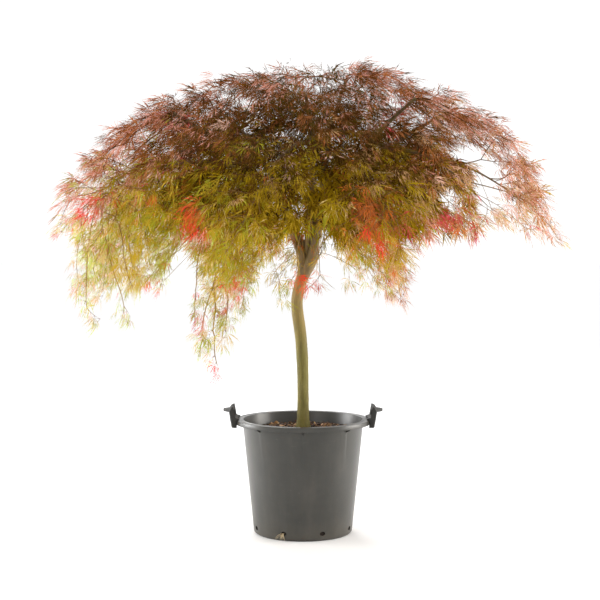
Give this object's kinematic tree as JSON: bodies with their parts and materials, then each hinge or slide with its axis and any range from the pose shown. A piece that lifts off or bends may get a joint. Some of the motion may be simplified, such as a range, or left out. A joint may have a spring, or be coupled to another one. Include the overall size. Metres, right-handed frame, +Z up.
{
  "type": "potted weeping maple",
  "caption": "Weeping laceleaf maple with an umbrella crown on a slender stem, growing in a round plastic nursery container with upright handles.",
  "frame": {"origin": "centre of the container's flat underside, on the ground", "axes": "+Z up along the container's axis; +X from the left handle to the right handle; -Y towards the viewer's side of the crown"},
  "size_m": [1.7446, 1.5945, 1.5912],
  "materials": {
    "container_plastic": "satin, dark grey",
    "compost": "rough, dark brown bark compost",
    "bark": "smooth olive bark with pale flecks",
    "leaf_bronze": "matte bronze leaves",
    "leaf_green": "matte yellow-green leaves"
  },
  "bodies": {
    "root": {"pot": "container_plastic", "handle_right": "container_plastic", "handle_left": "container_plastic", "soil": "compost", "trunk": "bark", "bough_1": "bark", "bough_2": "bark", "bough_3": "bark", "bough_4": "bark", "bough_5": "bark", "bough_6": "bark", "bough_7": "bark", "bough_8": "bark", "bough_top": "bark", "arm_curtain_1": "bark", "arm_curtain_2": "bark", "arm_curtain_3": "bark", "arm_curtain_4": "bark", "arm_curtain_5": "bark", "arm_skirt_1": "bark", "arm_skirt_2": "bark", "arm_skirt_3": "bark", "arm_skirt_4": "bark", "arm_skirt_5": "bark", "arm_skirt_6": "bark", "arm_skirt_7": "bark", "arm_skirt_8": "bark", "arm_skirt_9": "bark", "arm_skirt_10": "bark", "foliage_curtain_1": "leaf_green", "foliage_curtain_2": "leaf_green", "foliage_curtain_3": "leaf_green", "foliage_curtain_4": "leaf_green", "foliage_curtain_5": "leaf_green", "foliage_shoulder_1": "leaf_bronze", "foliage_shoulder_2": "leaf_bronze", "foliage_shoulder_3": "leaf_bronze", "foliage_shoulder_4": "leaf_bronze", "foliage_shoulder_5": "leaf_bronze", "foliage_shoulder_6": "leaf_bronze", "foliage_shoulder_7": "leaf_bronze", "foliage_shoulder_8": "leaf_bronze", "foliage_skirt_1": "leaf_green", "foliage_skirt_2": "leaf_green", "foliage_skirt_3": "leaf_green", "foliage_skirt_4": "leaf_green", "foliage_skirt_5": "leaf_green", "foliage_skirt_6": "leaf_green", "foliage_skirt_7": "leaf_green", "foliage_skirt_8": "leaf_green", "foliage_skirt_9": "leaf_green", "foliage_skirt_10": "leaf_green", "foliage_top_1": "leaf_bronze", "foliage_top_2": "leaf_bronze", "foliage_top_3": "leaf_bronze", "foliage_top_4": "leaf_bronze"}
  },
  "joints": []
}
